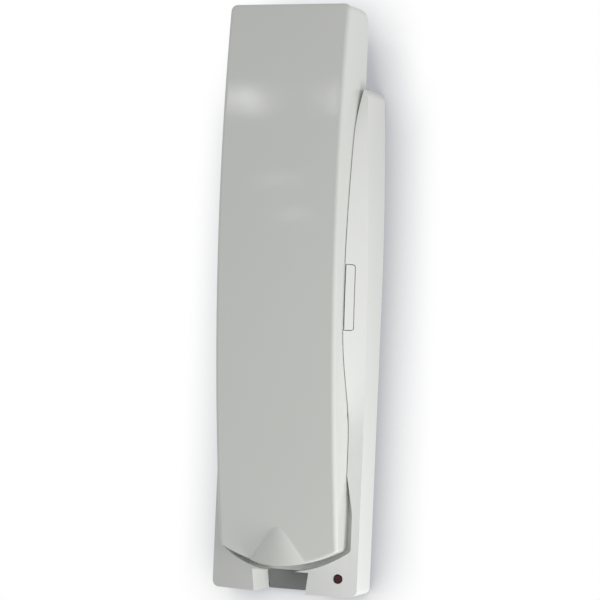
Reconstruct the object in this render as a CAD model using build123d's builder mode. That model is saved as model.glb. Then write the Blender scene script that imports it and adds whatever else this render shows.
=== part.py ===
"""Audio intercom handset: a slim arched handset hanging in its wall base.

Frame: +X is to the right seen from the front, +Y goes into the wall and +Z is up. The origin
is the middle of the base's wall face. Depths are measured from the wall towards the front,
and heights from the base's bottom edge.
"""

import os

from build123d import *

os.makedirs("parts", exist_ok=True)

# Clearances
fit_gap = 0.15
thread_gap = 0.05
seat_gap = 0.5
side_gap = 0.25
foot_gap = 2.6
overrun = 5.0

# Base, outer form
base_height = 185.5
base_width = 57.2
base_top_draw_in = 2.3
shoulder_height = 107.0
base_top_radius = 4.0
base_foot_radius = 2.5
chin_depth = 18.5
rim_depth = 13.6
chin_height = 7.6
cover_wall = 1.8

# Cheeks that rise beside the grip, as shares of the height and of their rise over the rim
cheek_width = 5.0
cheek_depth = 26.2
cheek_edge_depth = 16.8
cheek_height_shares = (0.28, 0.35, 0.41, 0.49, 0.60, 0.75, 0.89, 1.0)
crest_rise_shares = (0.0, 0.10, 0.44, 0.86, 1.0, 0.93, 0.70, 0.29)
edge_rise_shares = (0.0, 0.04, 0.15, 0.33, 0.58, 0.85, 1.0, 0.9)
flare_length = 16.5
flare_width = 1.5

# Foot of the cradle, wider than the handset
cradle_sagitta = 8.9
cradle_corner_radius = 1.5
foot_relief = 2.3
relief_height = 30.0
relief_run = 14.0

# Cord notch in the chin
notch_share = 0.388
notch_height = 8.0
notch_draw_in = 0.95

# Wall plate
plate_thickness = 3.0
slot_width = 4.5
slot_length = 9.0
low_slot_height = 37.0
high_slot_drop = 19.5
entry_width = 18.0
entry_length = 14.0
hook_tab_width = 8.0
hook_tab_depth = 1.6
hook_tab_thickness = 1.0
hook_tab_reach = 1.0
hook_tab_offset = 14.0

# Handset, outer form
handset_overhang = 28.5
handset_foot_draw_in = 0.1
foot_taper_length = 22.0
foot_sagitta = 6.3
handset_top_radius = 2.5
handset_foot_corner_radius = 2.0
handset_rear_radius = 7.0
front_edge_radius = 1.4
front_foot_depth = 19.6
foot_skirt = 1.0
front_crown_depth = 35.4
front_top_depth = 31.8
crown_share = 0.656
handset_rear_depth = 12.0
grip_rear_depth = 17.0
ear_shelf_margin = 5.5
mouth_shelf_share = 0.3
shelf_run = 10.0
shelf_radius = 6.0
handset_wall = 1.6
lid_thickness = 2.0
lid_top_drop = 9.0
lid_corner_radius = 4.0

# Cord hood at the foot of the handset
hood_length = 14.0
hood_foot_radius = 17.9
hood_tip_radius = 6.0
hood_foot_depth = 24.4
hood_tip_depth = 22.9

# Earpiece end
dish_margin = 6.85
dish_depth = 3.5
ear_boss_rise = 3.0
ear_boss_wall = 3.0
grille_hole_radius = 1.0
grille_ring_counts = (6, 12)
gasket_thickness = 1.2
gasket_width = 3.0
capsule_margin = 1.5
capsule_height = 8.0
magnet_share = 0.6
magnet_height = 3.0
clamp_thickness = 1.6

# Mouth end
mic_rise = 24.4
mic_radius = 4.85
mic_length = 6.5
boot_wall = 1.3
mic_hole_radius = 0.9
mic_hole_pitch = 3.2
mic_hole_count = 3

# Cord inlets, one in the handset and one in the base
jack_width = 10.4
jack_thickness = 7.2
jack_length = 13.0
jack_mouth_width = 7.8
jack_mouth_thickness = 5.8
jack_mouth_depth = 10.0
contact_count = 4
contact_pitch = 1.02
contact_width = 0.5
contact_thickness = 0.5
handset_jack_rear_depth = 12.8
base_jack_recess = 1.2

# Small board behind the handset's inlet
small_board_width = 15.0
small_board_depth = 7.0
small_board_thickness = 1.2

# Steel ballast in the grip
ballast_width = 14.0
ballast_end_gap = 6.5
ballast_thickness = 6.0
ballast_rib = 1.5
ballast_rib_rise = 3.0

# Screws of the handset shells
shell_screw_inset = 16.5
shell_screw_radius = 1.3
shell_screw_length = 9.0
shell_screw_head_radius = 2.5
shell_screw_head_height = 1.6
shell_screw_sink = 0.3
shell_boss_radius = 3.6

# Circuit board of the base
board_margin = 4.6
board_low_drop = 6.0
board_high_drop = 13.0
board_thickness = 1.6
board_standoff = 2.5
post_radius = 3.0
post_inset = 5.0
tongue_margin = 3.0
tongue_gap = 0.6
tongue_foot_height = 2.8
board_screw_radius = 1.2
board_screw_head_radius = 2.3
board_screw_head_height = 1.6
board_screw_length = 5.0

# Terminal block
terminal_count = 4
terminal_pitch = 5.0
terminal_depth = 7.6
terminal_height = 7.0
terminal_inset = 4.7
terminal_screw_radius = 1.5
terminal_screw_height = 4.0
terminal_wire_width = 3.0
terminal_wire_height = 2.8

# Hook switch, its plunger and spring
hook_drop = 28.0
hook_travel = 3.0
plunger_radius = 3.5
plunger_bore_radius = 2.4
plunger_cap = 1.6
plunger_tip_radius = 1.2
plunger_flange_radius = 5.2
plunger_flange_thickness = 1.5
plunger_arm_length = 12.0
plunger_arm_width = 4.0
plunger_tail = 1.6
rest_gap = 0.1
spring_wire_radius = 0.2
spring_wire_sides = 6
spring_radius = 1.9
spring_turns = 5
hook_switch_size = 6.0
hook_switch_height = 2.2
hook_button_radius = 1.2
hook_button_height = 0.8

# Door key in the right cheek
key_drop = 38.4
key_length = 24.0
key_margin = 2.7
key_corner_radius = 0.9
key_gap = 0.25
key_travel = 1.0
key_flange_thickness = 1.5
key_flange_width = 7.9
key_flange_overhang = 1.5
key_switch_margin = 7.8
key_switch_size = 6.0
key_switch_height = 3.7
key_stem_radius = 1.75

# Lamp in the chin
led_margin = 6.8
led_height = 6.4
led_radius = 1.6
led_length = 5.3
led_flange_radius = 2.0
led_flange_thickness = 1.0
led_dome = 0.6
lamp_pocket_radius = 3.0
lamp_pocket_skin = 2.2

# Other electronics
capacitor_radius = 3.15
capacitor_height = 7.0
capacitor_x = -14.0
capacitor_drop = 28.0
capacitor_edge_radius = 0.5
chip_width = 6.4
chip_length = 9.8
chip_thickness = 3.3
chip_x = 3.0
chip_drop = 32.0
chip_lead_reach = 1.2
chip_lead_thickness = 0.4
chip_lead_width = 0.8
chip_lead_pitch = 2.54
chip_lead_count = 4

# Screw under the chin
cover_screw_depth = 6.0
cover_screw_radius = 1.4
cover_screw_head_radius = 2.6
cover_screw_head_height = 1.2
cover_screw_length = 9.0
lug_width = 6.5
lug_height = 9.5

# Widths and places from side to side, worked out from the width of the base
cradle_half = base_width / 2 - cheek_width
handset_width = 2 * (cradle_half - side_gap)
handset_foot_width = handset_width - 2 * handset_foot_draw_in
base_top_width = base_width - 2 * base_top_draw_in
notch_width = notch_share * base_width
notch_foot_width = notch_width - 2 * notch_draw_in
board_width = base_width - 2 * board_margin
tongue_inner_x = notch_width / 2 + cover_wall + tongue_gap
tongue_outer_x = base_width / 2 - tongue_margin
key_outer_x = base_width / 2 - key_margin
key_flange_x = key_outer_x - key_flange_width / 2
key_switch_x = base_width / 2 - key_switch_margin
led_x = base_width / 2 - led_margin
cover_screw_x = -(base_width + notch_width) / 4
dish_radius = handset_width / 2 - dish_margin
capsule_radius = dish_radius - capsule_margin
magnet_radius = magnet_share * capsule_radius
grille_pitch = capsule_radius / (len(grille_ring_counts) + 1)

# Heights, worked out from the height of the base
handset_foot = chin_height + foot_gap
handset_top = base_height + handset_overhang
crown_height = handset_foot + crown_share * (handset_top - handset_foot)
ear_height = base_height - dish_radius
ear_shelf_height = ear_height - dish_radius - ear_shelf_margin
mouth_shelf_height = mouth_shelf_share * base_height
mic_height = handset_foot + mic_rise
shell_screw_heights = (
    mouth_shelf_height + shell_screw_inset,
    ear_shelf_height - shell_screw_inset,
)
ballast_height = sum(shell_screw_heights) / 2
ballast_length = shell_screw_heights[1] - shell_screw_heights[0] - 2 * ballast_end_gap
flare_height = base_height - flare_length
high_slot_height = base_height - high_slot_drop
board_low_height = mouth_shelf_height - board_low_drop
board_high_height = ear_shelf_height - board_high_drop
hook_height = ear_shelf_height - hook_drop
key_height = ear_shelf_height - key_drop
terminal_mid_height = board_high_height - terminal_inset
capacitor_mid_height = hook_height - capacitor_drop
chip_mid_height = hook_height - chip_drop

# Depths, worked out from the sizes above
board_back = plate_thickness + board_standoff
board_front = board_back + board_thickness
bridge_depth = grip_rear_depth - seat_gap
pocket_depth = handset_rear_depth - seat_gap
bridge_ceiling = bridge_depth - cover_wall
pocket_ceiling = pocket_depth - cover_wall
dish_floor = handset_rear_depth + dish_depth
capsule_rear = dish_floor + lid_thickness + gasket_thickness
clamp_outer = capsule_radius + fit_gap + clamp_thickness
lid_inner = handset_rear_depth + lid_thickness
grip_lid_inner = grip_rear_depth + lid_thickness
screw_seat = grip_rear_depth + shell_screw_head_height + shell_screw_sink
screw_pad_front = screw_seat + handset_wall


def up(height):
    """Z of a height above the base's bottom edge"""
    return height - base_height / 2


def facing(depth):
    """Plane parallel to the wall at a depth, on which +amount extrudes to the front"""
    return Plane.XZ.offset(depth)


def chin_surface(x):
    """Depth of the crowned chin at a distance from the middle"""
    half = base_width / 2
    rise = chin_depth - rim_depth
    radius = (half * half + rise * rise) / (2 * rise)
    return chin_depth - radius + (radius * radius - x * x) ** 0.5


def add_disc(depth, x, height, radius, thickness, mode=Mode.ADD):
    """Round slab with its axis square to the wall"""
    with BuildSketch(facing(depth)) as disc:
        with Locations((x, up(height))):
            Circle(radius)
    extrude(disc.sketch, amount=thickness, mode=mode)


def add_slab(depth, x, height, width, length, thickness, mode=Mode.ADD):
    """Rectangular slab parallel to the wall"""
    with BuildSketch(facing(depth)) as slab:
        with Locations((x, up(height))):
            Rectangle(width, length)
    extrude(slab.sketch, amount=thickness, mode=mode)


def side_profile(front_inset, end_inset, rear_shift):
    """Side view of the handset: arched front, and a rear with ear and mouth shelves

    It runs a skirt past the foot, where the front view's bowed edge cuts it.
    """
    foot = up(handset_foot + end_inset - foot_skirt)
    top = up(handset_top - end_inset)
    shelf = -(handset_rear_depth - rear_shift)
    grip = -(grip_rear_depth - rear_shift)
    with BuildSketch(Plane.YZ.offset(-base_width)) as profile:
        with BuildLine():
            ThreePointArc(
                (-(front_foot_depth - front_inset), foot),
                (-(front_crown_depth - front_inset), up(crown_height)),
                (-(front_top_depth - front_inset), top),
            )
            Polyline(
                (-(front_top_depth - front_inset), top),
                (shelf, top),
                (shelf, up(ear_shelf_height)),
                (grip, up(ear_shelf_height - shelf_run)),
                (grip, up(mouth_shelf_height + shelf_run)),
                (shelf, up(mouth_shelf_height)),
                (shelf, foot),
                (-(front_foot_depth - front_inset), foot),
            )
        make_face()
        corner = profile.vertices().group_by(Axis.Y)[-1].sort_by(Axis.X)[-1]
        fillet(corner, radius=handset_rear_radius)
        inner = profile.vertices().filter_by_position(Axis.X, grip, grip)
        fillet(inner, radius=shelf_radius)
    return profile.sketch


def front_outline(inset, top_drop, corner_radius):
    """Front view of the handset: straight sides, drawn-in foot and bowed bottom edge"""
    half = handset_width / 2 - inset
    foot_half = handset_foot_width / 2 - inset
    foot = up(handset_foot + inset)
    corner = up(handset_foot + foot_sagitta + inset)
    taper = up(handset_foot + foot_taper_length)
    top = up(handset_top - top_drop)
    with BuildSketch(Plane.XZ) as outline:
        with BuildLine():
            Polyline((foot_half, corner), (half, taper), (half, top), (-half, top))
            Polyline((-half, top), (-half, taper), (-foot_half, corner))
            ThreePointArc((-foot_half, corner), (0, foot), (foot_half, corner))
        make_face()
        fillet(outline.vertices().group_by(Axis.Y)[-1], radius=corner_radius)
        fillet(outline.vertices().group_by(Axis.Y)[0], radius=handset_foot_corner_radius)
    return outline.sketch


def handset_form(front_inset, inset, rear_shift):
    """Solid with the side and front views of the handset"""
    with BuildPart() as form:
        extrude(side_profile(front_inset, inset, rear_shift), amount=2 * base_width)
        outline = front_outline(inset, inset, handset_top_radius)
        extrude(outline, amount=front_crown_depth + overrun, mode=Mode.INTERSECT)
    return form.part


def cord_hood(inset):
    """Half cone that covers the cord inlet, inside the outline of the handset"""
    with BuildPart() as hood:
        with BuildSketch(Plane.XY.offset(up(handset_foot))):
            with Locations((0, -(hood_foot_depth - hood_foot_radius))):
                Circle(hood_foot_radius - inset)
        with BuildSketch(Plane.XY.offset(up(handset_foot + hood_length))):
            with Locations((0, -(hood_tip_depth - hood_tip_radius))):
                Circle(hood_tip_radius - inset)
        loft()
        add(handset_form(-overrun, inset, -inset), mode=Mode.INTERSECT)
    return hood.part


def lid_prism(clearance, depth):
    """Room of the rear shell between the side walls of the front shell"""
    with BuildPart() as prism:
        inset = handset_wall + clearance
        extrude(front_outline(inset, lid_top_drop + clearance, lid_corner_radius), amount=depth)
    return prism.part


def cheek_profile(x, rest_depth, full_depth, rise_shares):
    """Side view of a cheek at one distance from the middle: level rim, then a swell"""
    points = []
    for height_share, rise_share in zip(cheek_height_shares, rise_shares):
        depth = rest_depth + rise_share * (full_depth - rest_depth)
        points.append(Vector(-depth, up(base_height * height_share)))
    foot = Vector(-rest_depth, up(0))
    top = points[-1]
    with BuildSketch(Plane.YZ.offset(x)) as profile:
        with BuildLine():
            Line(foot, points[0])
            Spline(*points, tangents=[Vector(0, 1), top - points[-2]])
            Polyline(top, (0, top.Y), (0, foot.Y), foot)
        make_face()
    return profile.sketch


def cheek(side):
    """Rim and cheek of one side, ruled from the crest beside the cradle to the outer edge"""
    half = base_width / 2
    crest_rim = chin_surface(cradle_half)
    with BuildPart() as wing:
        loft(
            [
                cheek_profile(side * cradle_half, crest_rim, cheek_depth, crest_rise_shares),
                cheek_profile(side * half, rim_depth, cheek_edge_depth, edge_rise_shares),
            ],
            ruled=True,
        )
    return wing.part


def chin_block():
    """Crowned middle of the base between the two rims"""
    crest_rim = chin_surface(cradle_half)
    with BuildPart() as block:
        with BuildSketch(Plane.XY.offset(up(0))):
            with BuildLine():
                Polyline(
                    (-cradle_half, -crest_rim),
                    (-cradle_half, 0),
                    (cradle_half, 0),
                    (cradle_half, -crest_rim),
                )
                ThreePointArc(
                    (cradle_half, -crest_rim), (0, -chin_depth), (-cradle_half, -crest_rim)
                )
            make_face()
        extrude(amount=base_height)
    return block.part


def base_outline(inset):
    """Front view of the base: straight below the shoulder, drawn in towards the top"""
    half = base_width / 2 - inset
    top_half = base_top_width / 2 - inset
    low = up(inset)
    high = up(base_height - inset)
    shoulder = up(shoulder_height)
    with BuildSketch(Plane.XZ) as outline:
        with BuildLine():
            Polyline((-half, shoulder), (-half, low), (half, low), (half, shoulder))
            TangentArc((half, shoulder), (top_half, high), tangent=(0, 1))
            Line((top_half, high), (-top_half, high))
            TangentArc((-half, shoulder), (-top_half, high), tangent=(0, 1))
        make_face()
        fillet(outline.vertices().group_by(Axis.Y)[-1], radius=base_top_radius - inset)
        fillet(outline.vertices().group_by(Axis.Y)[0], radius=base_foot_radius - inset)
    return outline.sketch


def beside_rear_line(rear_shift, reach):
    """Side view of the room from the shifted rear line of the handset to a depth"""
    shelf = -(handset_rear_depth - rear_shift)
    grip = -(grip_rear_depth - rear_shift)
    low = up(0) - overrun
    high = up(base_height) + overrun
    with BuildSketch(Plane.YZ.offset(-base_width)) as region:
        with BuildLine():
            Polyline(
                (shelf, high),
                (shelf, up(ear_shelf_height)),
                (grip, up(ear_shelf_height - shelf_run)),
                (grip, up(mouth_shelf_height + shelf_run)),
                (shelf, up(mouth_shelf_height)),
                (shelf, low),
                (-reach, low),
                (-reach, high),
                close=True,
            )
        make_face()
    return region.sketch


def cradle_outline():
    """Front view of the cradle: follows the handset, wider at its foot and at the top lips"""
    foot_half = cradle_half + foot_relief
    corner = up(chin_height + cradle_sagitta)
    relief = up(relief_height)
    relief_end = up(relief_height + relief_run)
    high = up(base_height) + overrun
    flare = up(flare_height)
    lip = up(base_height)
    wide = cradle_half + flare_width
    with BuildSketch(Plane.XZ) as outline:
        with BuildLine():
            ThreePointArc((-foot_half, corner), (0, up(chin_height)), (foot_half, corner))
            for side in (-1, 1):
                Polyline(
                    (side * foot_half, corner),
                    (side * foot_half, relief),
                    (side * cradle_half, relief_end),
                    (side * cradle_half, flare),
                )
                TangentArc((side * cradle_half, flare), (side * wide, lip), tangent=(0, 1))
            Polyline((wide, lip), (wide, high), (-wide, high), (-wide, lip))
        make_face()
        fillet(outline.vertices().group_by(Axis.Y)[0], radius=cradle_corner_radius)
    return outline.sketch


def notch_outline():
    """Front view of the cord notch, drawn in towards its open foot"""
    half = notch_width / 2
    foot_half = notch_foot_width / 2
    below = up(0) - overrun
    with BuildSketch(Plane.XZ) as outline:
        with BuildLine():
            Polyline((foot_half, below), (foot_half, up(0)), (half, up(notch_height)))
            Polyline((-foot_half, below), (-foot_half, up(0)), (-half, up(notch_height)))
            Line((-foot_half, below), (foot_half, below))
            Line((-half, up(notch_height)), (half, up(notch_height)))
        make_face()
    return outline.sketch


def key_outline(gap):
    """Front view of the door key: open to the cradle, rounded on its outer side"""
    with BuildSketch(Plane.XZ) as outline:
        with Locations(((cradle_half + key_outer_x) / 2, up(key_height))):
            Rectangle(key_outer_x - cradle_half - 2 * gap, key_length - 2 * gap)
        outer = outline.vertices().group_by(Axis.X)[-1]
        fillet(outer, radius=key_corner_radius - gap)
    return outline.sketch.moved(Pos(0, -bridge_ceiling, 0))


# Cover of the base
with BuildPart() as cradle_room:
    extrude(beside_rear_line(seat_gap, cheek_depth + overrun), amount=2 * base_width)
    extrude(cradle_outline(), amount=cheek_depth + overrun, mode=Mode.INTERSECT)

with BuildPart() as bridge_cavity:
    extrude(beside_rear_line(seat_gap + cover_wall, -overrun), amount=2 * base_width)
    bridge_width = 2 * (cradle_half - cover_wall)
    with BuildSketch(Plane.XZ.offset(-2 * overrun)):
        Rectangle(bridge_width, base_height - 2 * cover_wall)
    extrude(amount=cheek_depth + 2 * overrun, mode=Mode.INTERSECT)

with BuildPart() as cover_cavity:
    inner_outline = base_outline(cover_wall).moved(Pos(0, overrun, 0))
    extrude(inner_outline, amount=overrun + pocket_ceiling)
    add(bridge_cavity.part)
    with BuildSketch(facing(plate_thickness)):
        with Locations((0, up(0))):
            Rectangle(notch_width + 2 * cover_wall, 2 * (notch_height + cover_wall))
    extrude(amount=chin_depth, mode=Mode.SUBTRACT)

right_cheek = cheek(1)
with BuildPart() as base_cover:
    add(chin_block())
    add(cheek(-1))
    add(right_cheek)
    extrude(base_outline(0), amount=cheek_depth + overrun, mode=Mode.INTERSECT)
    add(cradle_room.part, mode=Mode.SUBTRACT)
    add(cover_cavity.part, mode=Mode.SUBTRACT)
    # Ring that the ear dish of the handset hangs on
    with BuildSketch(facing(pocket_depth)):
        with Locations((0, up(ear_height))):
            Circle(dish_radius - seat_gap)
            Circle(dish_radius - seat_gap - ear_boss_wall, mode=Mode.SUBTRACT)
    extrude(amount=ear_boss_rise)
    # Cord notch, open to the front, to below and to the wall plate
    extrude(notch_outline(), amount=chin_depth + overrun, mode=Mode.SUBTRACT)
    # Mouth of the cord inlet in the roof of the notch
    with BuildSketch(Plane.XY.offset(up(notch_height))):
        with Locations((0, -(plate_thickness - base_jack_recess + jack_thickness / 2))):
            Rectangle(jack_mouth_width + fit_gap, jack_mouth_thickness + fit_gap)
    extrude(amount=cover_wall, mode=Mode.SUBTRACT)
    # Hole of the hook plunger
    add_disc(bridge_ceiling, 0, hook_height, plunger_radius + fit_gap, cover_wall, Mode.SUBTRACT)
    # Slot of the door key, and the pocket of its flange
    extrude(key_outline(0), amount=cheek_depth, mode=Mode.SUBTRACT)
    add_slab(pocket_ceiling, key_flange_x, key_height, key_flange_width + 2 * fit_gap,
             key_length + 2 * (key_flange_overhang + fit_gap), bridge_ceiling - pocket_ceiling,
             Mode.SUBTRACT)
    # Lamp hole and the pocket behind it
    add_disc(0, led_x, led_height, led_radius + fit_gap, chin_depth, Mode.SUBTRACT)
    pocket = chin_surface(led_x) - lamp_pocket_skin
    add_disc(pocket_ceiling, led_x, led_height, lamp_pocket_radius, pocket - pocket_ceiling,
             Mode.SUBTRACT)
    # Hole of the screw under the chin
    with BuildSketch(Plane.XY.offset(up(0))):
        with Locations((cover_screw_x, -cover_screw_depth)):
            Circle(cover_screw_radius + thread_gap)
    extrude(amount=cover_wall, mode=Mode.SUBTRACT)
    with BuildSketch(Plane.XY.offset(up(0))):
        with Locations((cover_screw_x, -cover_screw_depth)):
            Circle(cover_screw_head_radius + thread_gap)
    extrude(amount=cover_screw_head_height, mode=Mode.SUBTRACT)
    # Pockets for the two tabs of the wall plate
    with BuildSketch(facing(hook_tab_depth - fit_gap)):
        with Locations(
            (-hook_tab_offset, up(base_height - cover_wall)),
            (hook_tab_offset, up(base_height - cover_wall)),
        ):
            Rectangle(hook_tab_width + 2 * fit_gap, 2 * (hook_tab_reach + fit_gap))
    extrude(amount=hook_tab_thickness + 2 * fit_gap, mode=Mode.SUBTRACT)
base_cover.part.label = "base_cover"
export_step(base_cover.part, "parts/base_cover.step")

# Wall plate
post_places = []
for side in (-1, 1):
    for height in (board_low_height + post_inset, board_high_height - post_inset):
        post_places.append((side * (board_width / 2 - post_inset), up(height)))

with BuildPart() as wall_plate:
    extrude(base_outline(cover_wall + fit_gap), amount=plate_thickness)
    # Tongue that closes the back of the cord notch
    tongue_top = cover_wall + fit_gap + base_foot_radius
    add_slab(0, 0, tongue_top / 2, notch_foot_width - 2 * fit_gap, tongue_top,
             plate_thickness)
    # Board posts
    with BuildSketch(facing(plate_thickness)):
        with Locations(*post_places):
            Circle(post_radius)
    extrude(amount=board_standoff)
    with BuildSketch(facing(board_front - board_screw_length)):
        with Locations(*post_places):
            Circle(board_screw_radius + thread_gap)
    extrude(amount=board_screw_length, mode=Mode.SUBTRACT)
    # Lug of the screw under the chin
    with BuildSketch(Plane.XY.offset(up(cover_wall + fit_gap))):
        with Locations((cover_screw_x, -(pocket_ceiling - fit_gap) / 2)):
            Rectangle(lug_width, pocket_ceiling - fit_gap)
    extrude(amount=lug_height)
    with BuildSketch(Plane.XY.offset(up(0))):
        with Locations((cover_screw_x, -cover_screw_depth)):
            Circle(cover_screw_radius + thread_gap)
    extrude(amount=cover_screw_length + overrun, mode=Mode.SUBTRACT)
    # Tabs that hook into the cover's top wall
    with BuildSketch(facing(hook_tab_depth)):
        with Locations(
            (-hook_tab_offset, up(base_height - cover_wall - fit_gap)),
            (hook_tab_offset, up(base_height - cover_wall - fit_gap)),
        ):
            Rectangle(hook_tab_width, 2 * hook_tab_reach)
    extrude(amount=hook_tab_thickness)
    # Wall screw slots and the cable entry
    with BuildSketch(facing(0)):
        with Locations((0, up(low_slot_height)), (0, up(high_slot_height))):
            SlotOverall(slot_length, slot_width, rotation=90)
        with Locations((0, up(ear_shelf_height))):
            Rectangle(entry_width, entry_length)
    extrude(amount=plate_thickness, mode=Mode.SUBTRACT)
    # Seat of the cord inlet
    with BuildSketch(facing(plate_thickness - base_jack_recess)):
        with Locations((0, up(notch_height + cover_wall + jack_length / 2))):
            Rectangle(jack_width + 2 * fit_gap, jack_length + 2 * fit_gap)
    extrude(amount=base_jack_recess, mode=Mode.SUBTRACT)
wall_plate.part.label = "wall_plate"
export_step(wall_plate.part, "parts/wall_plate.step")

# Circuit board of the base, with a tongue down to the lamp
with BuildPart() as base_board:
    with BuildSketch(facing(board_back)):
        with BuildLine():
            Polyline(
                (-board_width / 2, up(board_low_height)),
                (-board_width / 2, up(board_high_height)),
                (board_width / 2, up(board_high_height)),
                (board_width / 2, up(board_low_height + post_inset)),
                (tongue_outer_x, up(board_low_height)),
                (tongue_outer_x, up(tongue_foot_height)),
                (tongue_inner_x, up(tongue_foot_height)),
                (tongue_inner_x, up(board_low_height)),
                close=True,
            )
        make_face()
        with Locations(*post_places):
            Circle(board_screw_radius + thread_gap, mode=Mode.SUBTRACT)
    extrude(amount=board_thickness)
base_board.part.label = "base_board"
export_step(base_board.part, "parts/base_board.step")

with BuildPart() as board_screws:
    with BuildSketch(facing(board_front - board_screw_length)):
        with Locations(*post_places):
            Circle(board_screw_radius)
    extrude(amount=board_screw_length)
    with BuildSketch(facing(board_front)):
        with Locations(*post_places):
            Circle(board_screw_head_radius)
    extrude(amount=board_screw_head_height)
board_screws.part.label = "board_screws"
export_step(board_screws.part, "parts/board_screws.step")

# Terminal block for the riser wires, with its clamp screws
terminal_places = []
for index in range(terminal_count):
    offset = (index - (terminal_count - 1) / 2) * terminal_pitch
    terminal_places.append((offset, up(terminal_mid_height)))
terminal_top = board_front + terminal_height

with BuildPart() as terminal_block:
    add_slab(board_front, 0, terminal_mid_height, terminal_count * terminal_pitch,
             terminal_depth, terminal_height)
    with BuildSketch(facing(terminal_top - terminal_screw_height)):
        with Locations(*terminal_places):
            Circle(terminal_screw_radius + thread_gap)
    extrude(amount=terminal_screw_height, mode=Mode.SUBTRACT)
    with BuildSketch(facing(board_front + board_standoff / 2)):
        for place in terminal_places:
            with Locations((place[0], up(terminal_mid_height + terminal_depth / 2))):
                Rectangle(terminal_wire_width, terminal_wire_width)
    extrude(amount=terminal_wire_height / 2, mode=Mode.SUBTRACT)
terminal_block.part.label = "terminal_block"
export_step(terminal_block.part, "parts/terminal_block.step")

with BuildPart() as terminal_screws:
    with BuildSketch(facing(terminal_top - terminal_screw_height)):
        with Locations(*terminal_places):
            Circle(terminal_screw_radius)
    extrude(amount=terminal_screw_height)
terminal_screws.part.label = "terminal_screws"
export_step(terminal_screws.part, "parts/terminal_screws.step")

# Hook switch and its plunger, which the handset holds pressed
plunger_tip = grip_rear_depth - rest_gap
flange_rear = bridge_ceiling - hook_travel - plunger_flange_thickness
switch_x = plunger_arm_length - hook_switch_size / 2

with BuildPart() as hook_switch:
    add_slab(board_front, switch_x, hook_height, hook_switch_size, hook_switch_size,
             hook_switch_height)
    add_disc(board_front + hook_switch_height, switch_x, hook_height, hook_button_radius,
             min(hook_button_height, flange_rear - rest_gap - board_front - hook_switch_height))
hook_switch.part.label = "hook_switch"
export_step(hook_switch.part, "parts/hook_switch.step")

with BuildPart() as hook_plunger:
    add_disc(flange_rear - plunger_tail, 0, hook_height, plunger_radius,
             plunger_tip - flange_rear + plunger_tail)
    tip_face = hook_plunger.faces().sort_by(Axis.Y)[0]
    fillet(tip_face.edges(), radius=plunger_tip_radius)
    add_disc(flange_rear, 0, hook_height, plunger_flange_radius, plunger_flange_thickness)
    add_slab(flange_rear, plunger_arm_length / 2, hook_height, plunger_arm_length,
             plunger_arm_width, plunger_flange_thickness)
    add_disc(flange_rear - plunger_tail, 0, hook_height, plunger_bore_radius,
             plunger_tip - plunger_cap - flange_rear + plunger_tail, Mode.SUBTRACT)
hook_plunger.part.label = "hook_plunger"
export_step(hook_plunger.part, "parts/hook_plunger.step")

spring_start = board_front + spring_wire_radius
spring_end = plunger_tip - plunger_cap - spring_wire_radius
spring_length = spring_end - spring_start
with BuildPart() as hook_spring:
    with BuildLine() as coil:
        Helix(
            pitch=spring_length / spring_turns,
            height=spring_length,
            radius=spring_radius,
            center=(0, -spring_start, up(hook_height)),
            direction=(0, -1, 0),
        )
    with BuildSketch(Plane(coil.line @ 0, z_dir=coil.line % 0)):
        RegularPolygon(spring_wire_radius, spring_wire_sides)
    sweep(path=coil.line, is_frenet=True)
hook_spring.part.label = "hook_spring"
export_step(hook_spring.part, "parts/hook_spring.step")

# Door key, flush with the right cheek, and the switch under its flange
key_flange_rear = bridge_ceiling - key_flange_thickness
with BuildPart() as door_key:
    add(right_cheek)
    extrude(key_outline(key_gap), amount=cheek_depth, mode=Mode.INTERSECT)
    add_slab(key_flange_rear, key_flange_x, key_height, key_flange_width,
             key_length + 2 * key_flange_overhang, key_flange_thickness)
door_key.part.label = "door_key"
export_step(door_key.part, "parts/door_key.step")

with BuildPart() as key_switch:
    add_slab(board_front, key_switch_x, key_height, key_switch_size, key_switch_size,
             key_switch_height)
    stem_top = key_flange_rear - key_travel - thread_gap
    add_disc(board_front + key_switch_height, key_switch_x, key_height, key_stem_radius,
             stem_top - board_front - key_switch_height)
key_switch.part.label = "key_switch"
export_step(key_switch.part, "parts/key_switch.step")

# Lamp with its spacer on the board's tongue
lamp_front = chin_surface(led_x) + thread_gap
lamp_rear = lamp_front - led_length
with BuildPart() as led:
    add_disc(lamp_rear, led_x, led_height, led_radius, led_length)
    lens = led.faces().sort_by(Axis.Y)[0]
    fillet(lens.edges(), radius=led_dome)
    add_disc(lamp_rear, led_x, led_height, led_flange_radius, led_flange_thickness)
led.part.label = "led"
export_step(led.part, "parts/led.step")

with BuildPart() as led_spacer:
    add_disc(board_front, led_x, led_height, led_flange_radius, lamp_rear - board_front)
led_spacer.part.label = "led_spacer"
export_step(led_spacer.part, "parts/led_spacer.step")

# Other electronics on the base board
with BuildPart() as smoothing_capacitor:
    add_disc(board_front, capacitor_x, capacitor_mid_height, capacitor_radius, capacitor_height)
    crown = smoothing_capacitor.faces().sort_by(Axis.Y)[0]
    fillet(crown.edges(), radius=capacitor_edge_radius)
smoothing_capacitor.part.label = "smoothing_capacitor"
export_step(smoothing_capacitor.part, "parts/smoothing_capacitor.step")

with BuildPart() as amplifier_chip:
    add_slab(board_front + chip_lead_thickness, chip_x, chip_mid_height, chip_width, chip_length,
             chip_thickness)
    with BuildSketch(facing(board_front)):
        with Locations((chip_x, up(chip_mid_height))):
            with GridLocations(0, chip_lead_pitch, 1, chip_lead_count):
                Rectangle(chip_width + 2 * chip_lead_reach, chip_lead_width)
    extrude(amount=chip_lead_thickness)
amplifier_chip.part.label = "amplifier_chip"
export_step(amplifier_chip.part, "parts/amplifier_chip.step")

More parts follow.
